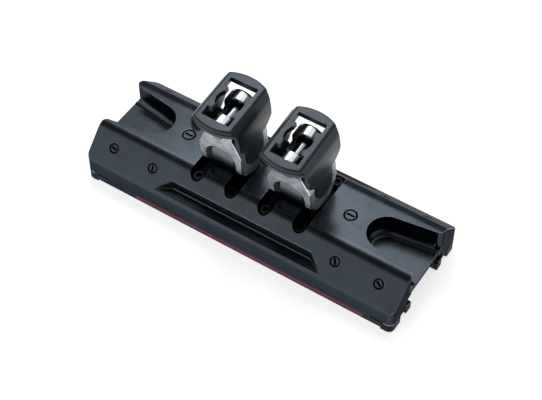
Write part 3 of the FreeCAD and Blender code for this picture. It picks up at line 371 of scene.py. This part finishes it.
@dataclass
class SubAssembly:
    """Pieces that ride on one body, and the ways in which they are made.

    Attributes:
        body: The body.
        sharp_angle: Edges that turn by more, in degrees, part the shading.
        join: Vertices of a CAD mesh that are nearer, in millimetres, are one.
    """

    body: Body
    sharp_angle: float = 30.0
    join: float = 0.002

    def copy_of(self, node: str) -> bmesh.types.BMesh:
        """Copy a CAD node's mesh, with its loose triangles joined.

        Args:
            node: The CAD node.

        Returns:
            The copy.
        """
        bm = bmesh.new()
        bm.from_mesh(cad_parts[node].data)
        bmesh.ops.remove_doubles(bm, verts=bm.verts, dist=self.join * MM)
        return bm

    def break_edges(self, bm: bmesh.types.BMesh, width: float, steps: int = 2,
                    angle: float = 30.0, skip: Optional[Callable[[Vector], bool]] = None) -> None:
        """Round the sharp outer edges, whose new faces wear the second finish.

        Args:
            bm: The shape.
            width: How far the rounding reaches from each edge, in millimetres.
            steps: Faces across it.
            angle: Edges that turn by more than this are rounded, in degrees.
            skip: Tells from an edge's middle, in millimetres, that it stays as it is.
        """
        sharp = []
        for edge in bm.edges:
            outer = len(edge.link_faces) == 2 and edge.is_convex
            if outer and edge.calc_face_angle() > math.radians(angle):
                middle = (edge.verts[0].co + edge.verts[1].co) / 2 / MM
                if skip is None or not skip(middle):
                    sharp.append(edge)
        made = bmesh.ops.bevel(bm, geom=sharp, offset=width * MM, offset_type="OFFSET",
                               affect="EDGES", segments=steps, profile=0.5, material=-1,
                               clamp_overlap=False)
        for face in made["faces"]:
            face.material_index = Coat.SECOND

    def creased(self, edge: bmesh.types.BMEdge) -> bool:
        """Tell the edges whose two faces are shaded apart."""
        return edge.calc_face_angle(math.pi) > math.radians(self.sharp_angle)

    def finish_piece(self, bm: bmesh.types.BMesh, name: str, slot: Slot,
                     finishes: Sequence[Finish], stands_for: Sequence[str] = ()
                     ) -> bpy.types.Object:
        """Turn a shape into a piece that rides on this sub-assembly's body.

        Args:
            bm: The shape, in its place.
            name: The piece's name.
            slot: The record's slot. Not used.
            finishes: The finishes that its faces wear, by their number.
            stands_for: CAD nodes that it replaces.

        Returns:
            The piece.
        """
        for face in bm.faces:
            face.smooth = True
        for edge in bm.edges:
            edge.smooth = not self.creased(edge)
        mesh = bpy.data.meshes.new(name)
        bm.to_mesh(mesh)
        bm.free()
        for finish in finishes:
            mesh.materials.append(finish.material())
        piece = bpy.data.objects.new(name, mesh)
        bpy.context.scene.collection.objects.link(piece)
        weight = piece.modifiers.new("flat_faces_first", "WEIGHTED_NORMAL")
        weight.keep_sharp = True
        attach(piece, self.body.value)
        if stands_for:
            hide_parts(*stands_for)
        log.info("%s: %d faces on %s", name, len(mesh.polygons), self.body.value)
        return piece

    def soften(self, node: str, name: str, slot: Slot, width: float,
               finishes: Sequence[Finish]) -> bpy.types.Object:
        """Replace a CAD node by its copy with broken edges.

        Args:
            node: The CAD node.
            name: The piece's name.
            slot: The record's slot. Passed on, and not used.
            width: Width of the broken edges, in millimetres.
            finishes: The finish of its faces, and that of its broken edges.

        Returns:
            The piece.
        """
        bm = self.copy_of(node)
        self.break_edges(bm, width)
        return self.finish_piece(bm, name, slot, finishes, (node,))

    def dress(self, node: str, slot: Slot, finish: Finish) -> None:
        """Give a CAD node, whose shape stays, its finish.

        Args:
            node: The CAD node.
            slot: The record's slot. Not used.
            finish: Its finish.
        """
        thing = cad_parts[node]
        thing.data.materials.clear()
        thing.data.materials.append(finish.material())
        log.info("%s wears %s", node, finish.name)

    def ring(self, bm: bmesh.types.BMesh, centre: Vector, axis: Vector, radius: float,
             thick: float, sides: int = 12, steps: int = 40) -> None:
        """Add a closed ring of round section.

        Args:
            bm: The shape that gets it.
            centre: Middle of the ring.
            axis: Its axis.
            radius: From the axis to the middle of the section, in millimetres.
            thick: The section's radius, in millimetres.
            sides: Faces round the section.
            steps: Sections round the ring.
        """
        out = axis.orthogonal().normalized()
        turn = out.cross(axis).to_track_quat("Z", "Y").to_matrix().to_4x4()
        place = Matrix.Translation(centre + out * radius * MM) @ turn
        made = bmesh.ops.create_circle(bm, segments=sides, radius=thick * MM, matrix=place)
        edges = list(dict.fromkeys(edge for vert in made["verts"] for edge in vert.link_edges))
        bmesh.ops.spin(bm, geom=made["verts"] + edges, cent=centre, axis=axis, angle=2 * math.pi,
                       steps=steps, use_merge=True)
        bmesh.ops.recalc_face_normals(bm, faces=bm.faces)


@dataclass
class CarShell(SubAssembly):
    """The car's machined body, with a ledge milled into each sloping side.

    Lengths are in millimetres and angles in degrees.

    Attributes:
        edge: Width of the broken edges.
        edge_angle: Edges that turn by more are broken.
        slope_angle: Where a sloping side ends, edges that turn by more part the shading.
        ledge_floor: Height of a ledge's floor.
        ledge_wall: From the car's long middle to a ledge's wall.
        ledge_reach: From the car's short middle to a ledge's ends.
        slope: Height plus distance from the long middle, on a sloping side.
        skin: How far under the sloping side the milled faces start.
        slack: How far a face's middle may miss a ledge's floor or wall.
        floor_up: A floor's normal points up by more.
        wall_up: A wall's normal points up or down by less.
        corner_out: Edges in a ledge's acute corners are further outside its wall.
        corner_down: They are less far under its floor.
        corner_top: They are further under the top of its wall.
    """

    body: Body = Body.CAR
    edge: float = 0.3
    edge_angle: float = 40.0
    slope_angle: float = 10.0
    ledge_floor: float = 24.6
    ledge_wall: float = 39.0
    ledge_reach: float = 79.0
    slope: float = 72.6
    skin: float = 0.8
    slack: float = 0.1
    floor_up: float = 0.98
    wall_up: float = 0.1
    corner_out: float = 0.2
    corner_down: float = 0.5
    corner_top: float = 0.3

    def build(self) -> None:
        """Build the body with its edges broken by tumbling and its ledges painted darker as shade.
        """
        bm = self.copy_of("car_body")
        self.break_edges(bm, self.edge, angle=self.edge_angle, skip=self._low_on_ledge)
        # A ledge's floor and walls are painted darker as shade.
        for face in bm.faces:
            if self._milled(face.calc_center_median() / MM, face.normal.z):
                face.material_index = Coat.THIRD
        self.finish_piece(bm, "car_shell", Slot.BODY, (ANODISED, ANODISED_EDGE, MILLED_POCKET_SHADE),
                          ("car_body",))

    def creased(self, edge: bmesh.types.BMEdge) -> bool:
        """Crease also each edge at which a sloping side ends."""
        sloping = {abs(face.normal.z - LEANING) < LEANING_SLACK
                   and abs(abs(face.normal.y) - LEANING) < LEANING_SLACK
                   for face in edge.link_faces}
        ends = len(sloping) == 2 and edge.calc_face_angle() > math.radians(self.slope_angle)
        return ends or super().creased(edge)

    def _low_on_ledge(self, at: Vector) -> bool:
        """Tell the edges that meet in a ledge's acute corners from the rest.

        Args:
            at: Middle of the edge, in millimetres.

        Returns:
            Whether it is one of them.
        """
        low = self.ledge_floor - self.corner_down
        high = self.slope - self.ledge_wall - self.corner_top
        return (abs(at.x) < self.ledge_reach and abs(at.y) > self.ledge_wall + self.corner_out
                and low < at.z < high)

    def _milled(self, at: Vector, up: float) -> bool:
        """Tell a ledge's floor and walls from the fillet between them and from the rest.

        Args:
            at: Middle of the face, in millimetres.
            up: How far its normal points up.

        Returns:
            Whether it is on a floor or a wall.
        """
        inside = (at.z > self.ledge_floor - self.slack
                  and abs(at.y) > self.ledge_wall - self.slack
                  and abs(at.y) + at.z < self.slope - self.skin)
        return inside and (up > self.floor_up or abs(up) < self.wall_up)


@dataclass
class BallRuns(SubAssembly):
    """Balls, their retaining strips, and the moulded ends that turn them round.

    Lengths are in millimetres.

    Attributes:
        edge: Width of the ends' broken edges.
        strip_edge: Width of the strips' broken edges.
        screw_edge: Width of the screws' broken edges.
        tab_out: The ends' tabs are further from the car's long middle.
        tab_low: The tabs are higher.
        tab_high: The tabs are lower.
        tab_end: The tabs are nearer to the car's short middle.
    """

    body: Body = Body.CAR
    edge: float = 0.25
    strip_edge: float = 0.15
    screw_edge: float = 0.12
    tab_out: float = 48.5
    tab_low: float = 6.7
    tab_high: float = 9.1
    tab_end: float = 133.5

    def build(self) -> None:
        """Build both runs."""
        for side in Side:
            self.dress("balls_" + side.value, Slot.BALL, IMIDE)
            self.soften("ball_strip_" + side.value, "retaining_strip_" + side.value,
                        Slot.MOULDING, self.strip_edge, (ACETAL, ACETAL))
            for end in End:
                self._turn_piece(side, end)
        for end in End:
            self.soften("return_screws_" + end.value, "turn_piece_screws_" + end.value,
                        Slot.STEEL, self.screw_edge, (GROUND_STEEL, TUMBLED_EDGE))

    def _turn_piece(self, side: Side, end: End) -> None:
        """Mould one end piece, whose locating tab sits sunk in the side band and is painted dark
        as shade.

        Args:
            side: The side of the car that it is on.
            end: The end of the car that it is at.
        """
        place = "%s_%s" % (side.value, end.value)
        bm = self.copy_of("ball_return_" + place)
        self.break_edges(bm, self.edge)
        # The sunk tab is painted dark as shade.
        for face in bm.faces:
            at = face.calc_center_median() / MM
            tab = (abs(at.y) > self.tab_out and self.tab_low < at.z < self.tab_high
                   and abs(at.x) < self.tab_end)
            face.material_index = Coat.SECOND if tab else Coat.FIRST
        self.finish_piece(bm, "turn_piece_" + place, Slot.MOULDING, (ACETAL, RECESS_SHADE),
                          ("ball_return_" + place,))


@dataclass
class PlugRow(SubAssembly):
    """Slotted plugs of one face, each in a black sealing ring that fills the hole round it.

    Lengths are in millimetres.

    Attributes:
        node: The CAD node that holds the plugs.
        name: The name of the piece.
        places: The plugs' places along the car.
        at: The row's place across the car, and its height.
        axis: The way that the plugs face.
        radius: A plug's radius.
        gap: From a plug to the wall of its hole.
        seal: Thickness of the seal's section.
        sunk: Depth of the seal under the face.
        recess: Depth from which a slot is painted dark as shade.
        rim: The rim's inner and outer limits, as shares of the radius.
    """

    body: Body = Body.CAR
    node: str = ""
    name: str = ""
    places: tuple[float, ...] = ()
    at: tuple[float, float] = (0.0, 0.0)
    axis: tuple[float, float, float] = (0.0, 0.0, 1.0)
    radius: float = 4.0
    gap: float = 0.4
    seal: float = 1.1
    sunk: float = 0.15
    recess: float = 0.3
    rim: tuple[float, float] = (0.8, 1.5)

    def build(self) -> None:
        """Draw the plugs' rims in to their seals, paint shade into their slots and add the seals.
        """
        bm = self.copy_of(self.node)
        rings = bmesh.new()
        axis = Vector(self.axis).normalized()
        turn = axis.to_track_quat("Z", "Y").to_matrix().to_4x4()
        share = (self.radius + self.gap - self.seal) / self.radius
        for x in self.places:
            centre = Vector((x, *self.at)) * MM
            verts = [vert for vert in bm.verts if self._on_rim(vert.co - centre, axis)]
            bmesh.ops.scale(bm, vec=(share, share, 1.0), verts=verts,
                            space=(Matrix.Translation(centre) @ turn).inverted())
            # The dead black seal also stands for the shade in the gap round the plug.
            middle = centre - axis * (self.sunk + self.seal / 2) * MM
            self.ring(rings, middle, axis, self.radius + self.gap - self.seal / 2, self.seal / 2)
        surface = Vector((0.0, *self.at)) * MM
        # Faces deep in a slot are painted dark as shade.
        for face in bm.faces:
            depth = (surface - face.calc_center_median()).dot(axis)
            face.material_index = Coat.SECOND if depth > self.recess * MM else Coat.FIRST
        self.finish_piece(bm, self.name, Slot.METAL, (BLACK_METAL, RECESS_SHADE), (self.node,))
        self.finish_piece(rings, self.name + "_seals", Slot.MOULDING, (NITRILE_SEAL_SHADE,))

    def _on_rim(self, offset: Vector, axis: Vector) -> bool:
        """Tell a plug's rim from its slot and from the other plugs.

        Args:
            offset: From the middle of the plug to the vertex, in metres.
            axis: The plug's axis.

        Returns:
            Whether the vertex is on the rim.
        """
        across = (offset - axis * offset.dot(axis)).length / MM
        inner, outer = self.rim
        return self.radius * inner < across < self.radius * outer


@dataclass
class SlopePlugs(PlugRow):
    """The four plugs of one sloping side, which face out square to it.

    Attributes:
        side: The side.
        out: From the car's long middle to the plugs, in millimetres.
        up: Their height, in millimetres.
    """

    places: tuple[float, ...] = (-122.5, -84.5, 84.5, 122.5)
    side: Side = Side.NEAR
    out: float = 37.6
    up: float = 35.0

    def __post_init__(self) -> None:
        """Set the row on its side of the car."""
        self.node = "side_plugs_" + self.side.value
        self.name = "slope_plugs_" + self.side.value
        self.at = (self.out * self.side.way, self.up)
        self.axis = (0.0, self.side.way, 1.0)


@dataclass
class CrownPlugs(PlugRow):
    """The two larger plugs of the top face."""

    node: str = "top_plugs"
    name: str = "crown_plugs"
    places: tuple[float, ...] = (-75.2, 75.2)
    at: tuple[float, float] = (0.0, 45.0)
    radius: float = 5.4
    seal: float = 1.2


@dataclass
class Toggle(SubAssembly):
    """A stand-up toggle: hinge, fork, clevis and cap.

    Lengths are in millimetres.

    Attributes:
        deck: Under this height the base is painted dark as shade.
        jaws: Over this height the fork is polished.
        base_edge: Width of the base's broken edges.
        fork_edge: Width of the fork's broken edges.
        fork_steps: Faces across the fork's broken edges.
        fork_angle: The fork's edges that turn by more, in degrees, are broken.
        fine_edge: Width of the broken edges of the small parts and of the hood.
        block_pin_edge: Width of the block pin's broken edges.
        ring_edge: Width of the retaining ring's broken edges.
    """

    deck: float = 44.0
    jaws: float = 87.0
    base_edge: float = 0.3
    fork_edge: float = 0.7
    fork_steps: int = 3
    fork_angle: float = 45.0
    fine_edge: float = 0.15
    block_pin_edge: float = 0.1
    ring_edge: float = 0.25

    def part(self, name: str) -> str:
        """Name a node or a piece of this toggle."""
        return "%s_%s" % (self.body.value, name)

    def build(self) -> None:
        """Build the toggle's fixed base and its moving head."""
        self._base()
        self._fork()
        self.soften(self.part("hinge_pin"), self.part("hinge_axle"), Slot.STEEL, self.fine_edge,
                    (GROUND_STEEL, TUMBLED_EDGE))
        self.dress(self.part("hinge_washers"), Slot.WASHER, NATURAL_ACETAL)
        self.soften(self.part("clevis_bushes"), self.part("jaw_bushes"), Slot.METAL,
                    self.fine_edge, (COATED_BUSH, COATED_BUSH))
        self.soften(self.part("clevis_pin"), self.part("block_pin"), Slot.STEEL,
                    self.block_pin_edge, (GROUND_STEEL, GROUND_STEEL))
        self.soften(self.part("clevis_ring"), self.part("retaining_ring"), Slot.STEEL,
                    self.ring_edge, (SPRING_STEEL, SPRING_STEEL))
        # The hood's broken edges are paler: rubbed, and a painted highlight along its rims.
        self.soften(self.part("cap"), self.part("hood"), Slot.CAP, self.fine_edge,
                    (NYLON, NYLON_EDGE_HIGHLIGHT))

    def _base(self) -> None:
        """Build the knuckle, its screws and its bush, which stay with the car."""
        base = SubAssembly(Body.CAR)
        bm = base.copy_of(self.part("base"))
        base.break_edges(bm, self.base_edge)
        # Faces under the deck are painted dark as shade.
        for face in bm.faces:
            if face.calc_center_median().z < self.deck * MM:
                face.material_index = Coat.THIRD
        # The knuckle's grey is painted light.
        base.finish_piece(bm, self.part("knuckle"), Slot.METAL, (KNUCKLE_PAINTED_LIGHT, ANODISED_EDGE, RECESS_SHADE),
                          (self.part("base"),))
        base.soften(self.part("base_screws"), self.part("socket_screws"), Slot.METAL,
                    self.fine_edge, (BLACK_STEEL, BLACK_STEEL))
        base.dress(self.part("hinge_bush"), Slot.BRONZE, BRONZE)

    def _fork(self) -> None:
        """Build the fork, with its legs tumbled and the inside of its jaws polished."""
        bm = self.copy_of(self.part("fork"))
        self.break_edges(bm, self.fork_edge, self.fork_steps, self.fork_angle)
        for face in bm.faces:
            if face.calc_center_median().z > self.jaws * MM:
                face.material_index = Coat.THIRD
        self.finish_piece(bm, self.part("steel_fork"), Slot.STEEL,
                          (TUMBLED_STEEL, TUMBLED_EDGE, POLISHED_STEEL), (self.part("fork"),))


@dataclass
class SoftBox:
    """One square lamp.

    Attributes:
        name: The lamp's name.
        way: The way from the object to the lamp.
        side: Length of its edges, in metres.
        radiance: How bright its face is.
        distance: From the object to the lamp, in metres.
    """

    name: str
    way: tuple[float, float, float]
    side: float
    radiance: float
    distance: float = 1.7

    def build(self) -> None:
        """Hang the lamp, facing the object."""
        light = bpy.data.lights.new(self.name, "AREA")
        light.shape = "SQUARE"
        light.size = self.side
        light.energy = self.radiance * math.pi * self.side * self.side
        lamp = bpy.data.objects.new(self.name, light)
        way = Vector(self.way).normalized()
        lamp.location = way * self.distance
        lamp.rotation_euler = (-way).to_track_quat("-Z", "Y").to_euler()
        bpy.context.scene.collection.objects.link(lamp)


@dataclass
class Studio:
    """Pale floor, soft boxes with a dark gap between them, and the camera.

    Attributes:
        floor_half: Half of the floor's width, in metres.
        floor_colour: The floor's colour.
        floor_roughness: The floor's roughness.
        floor_glow: What lifts the lit floor to white for the camera and for mirrors.
        world_light: Even light from all round.
        wall_top: Where the white wall ends, on a sky of radius 1. It fades from half of that.
        camera_at: The camera's place, in metres.
        looks_at: The place that it looks at, in metres.
        lens: Its focal length, in millimetres.
        sensor: Width of its sensor, in millimetres.
        clip_start: The nearest thing that it sees, in metres.
        boxes: The lamps.
    """

    floor_half: float = 3.0
    floor_colour: str = "#e6e6e6"
    floor_roughness: float = 0.9
    floor_glow: float = 0.72
    world_light: float = 0.12
    wall_top: float = 0.3
    camera_at: tuple[float, float, float] = (0.3910, -0.5988, 0.8991)
    looks_at: tuple[float, float, float] = (-0.0035, 0.0098, 0.0)
    lens: float = 94.8
    sensor: float = 36.0
    clip_start: float = 0.01
    boxes: list[SoftBox] = field(default_factory=lambda: [
        SoftBox("soft_box_back", way=(-0.06, 0.54, 0.83), side=1.3, radiance=1.75),
        SoftBox("soft_box_top", way=(-0.34, 0.39, 0.855), side=0.55, radiance=4.4),
        SoftBox("soft_box_front", way=(-0.45, -0.75, 0.5), side=1.5, radiance=1.05),
        SoftBox("soft_box_right", way=(0.85, 0.1, 0.5), side=0.9, radiance=0.2),
    ])

    def build(self) -> None:
        """Build the floor, the lamps, the world and the camera."""
        self._floor()
        self._world()
        for box in self.boxes:
            box.build()
        self._camera()

    def _floor(self) -> None:
        """Lay the floor, white to the camera and to mirrors, shadowed, and clear from below."""
        mesh = bpy.data.meshes.new("floor")
        bm = bmesh.new()
        bmesh.ops.create_grid(bm, x_segments=1, y_segments=1, size=self.floor_half)
        bm.to_mesh(mesh)
        bm.free()
        floor = bpy.data.objects.new("floor", mesh)
        bpy.context.scene.collection.objects.link(floor)
        made = bpy.data.materials.new("pale_floor")
        made.use_nodes = True
        tree = made.node_tree
        shader = tree.nodes["Principled BSDF"]
        shader.inputs["Base Color"].default_value = linear(self.floor_colour)
        shader.inputs["Roughness"].default_value = self.floor_roughness
        shader.inputs["Specular IOR Level"].default_value = 0.0
        shader.inputs["Emission Color"].default_value = WHITE
        lift = add_node(tree, "ShaderNodeMath", {"operation": "MULTIPLY"},
                        {0: self._seen(tree), 1: self.floor_glow})
        tree.links.new(lift.outputs["Value"], shader.inputs["Emission Strength"])
        under = add_node(tree, "ShaderNodeNewGeometry").outputs["Backfacing"]
        clear = add_node(tree, "ShaderNodeBsdfTransparent")
        both = add_node(tree, "ShaderNodeMixShader",
                        inputs={0: under, 1: shader.outputs["BSDF"], 2: clear.outputs["BSDF"]})
        tree.links.new(both.outputs["Shader"], tree.nodes["Material Output"].inputs["Surface"])
        mesh.materials.append(made)

    def _seen(self, tree: bpy.types.NodeTree) -> bpy.types.NodeSocket:
        """Tell the rays of the camera, of mirrors and of glass from the rest.

        Args:
            tree: The node tree that asks.

        Returns:
            A socket that is 1 for those rays.
        """
        path = add_node(tree, "ShaderNodeLightPath")
        seen = path.outputs["Is Camera Ray"]
        for ray in ("Is Glossy Ray", "Is Transmission Ray"):
            seen = add_node(tree, "ShaderNodeMath", {"operation": "MAXIMUM"},
                            {0: seen, 1: path.outputs[ray]}).outputs["Value"]
        return seen

    def _world(self) -> None:
        """Fill the room with an even dim light, with a white wall low round the horizon."""
        world = bpy.data.worlds.new("studio")
        world.use_nodes = True
        tree = world.node_tree
        place = add_node(tree, "ShaderNodeTexCoord").outputs["Generated"]
        axes = add_node(tree, "ShaderNodeSeparateXYZ", inputs={"Vector": place})
        wall = add_node(tree, "ShaderNodeMapRange", {"interpolation_type": "SMOOTHSTEP"},
                        {"Value": axes.outputs["Z"], "From Min": self.wall_top / 2,
                         "From Max": self.wall_top, "To Min": 1.0, "To Max": 0.0})
        lit = add_node(tree, "ShaderNodeMath", {"operation": "MULTIPLY"},
                       {0: wall.outputs["Result"], 1: self._seen(tree)})
        glow = add_node(tree, "ShaderNodeMapRange",
                        inputs={"Value": lit.outputs["Value"], "To Min": self.world_light,
                                "To Max": 1.0})
        ground = tree.nodes["Background"]
        ground.inputs["Color"].default_value = WHITE
        tree.links.new(glow.outputs["Result"], ground.inputs["Strength"])
        bpy.context.scene.world = world

    def _camera(self) -> None:
        """Set the camera at the photograph's angle."""
        lens = bpy.data.cameras.new("camera")
        lens.lens = self.lens
        lens.sensor_width = self.sensor
        lens.clip_start = self.clip_start
        camera = bpy.data.objects.new("camera", lens)
        camera.location = self.camera_at
        way = Vector(self.looks_at) - Vector(self.camera_at)
        camera.rotation_euler = way.to_track_quat("-Z", "Y").to_euler()
        bpy.context.scene.collection.objects.link(camera)
        bpy.context.scene.camera = camera


def main() -> None:
    """Build the scene in order and report each piece."""
    logging.basicConfig(level=logging.INFO, format="%(message)s")
    CarShell().build()
    BallRuns().build()
    for side in Side:
        SlopePlugs(side=side).build()
    CrownPlugs().build()
    for body in (Body.TOGGLE_1, Body.TOGGLE_2):
        Toggle(body).build()
    Studio().build()
    bpy.context.scene.view_settings.view_transform = "Standard"


if __name__ == "__main__":
    main()
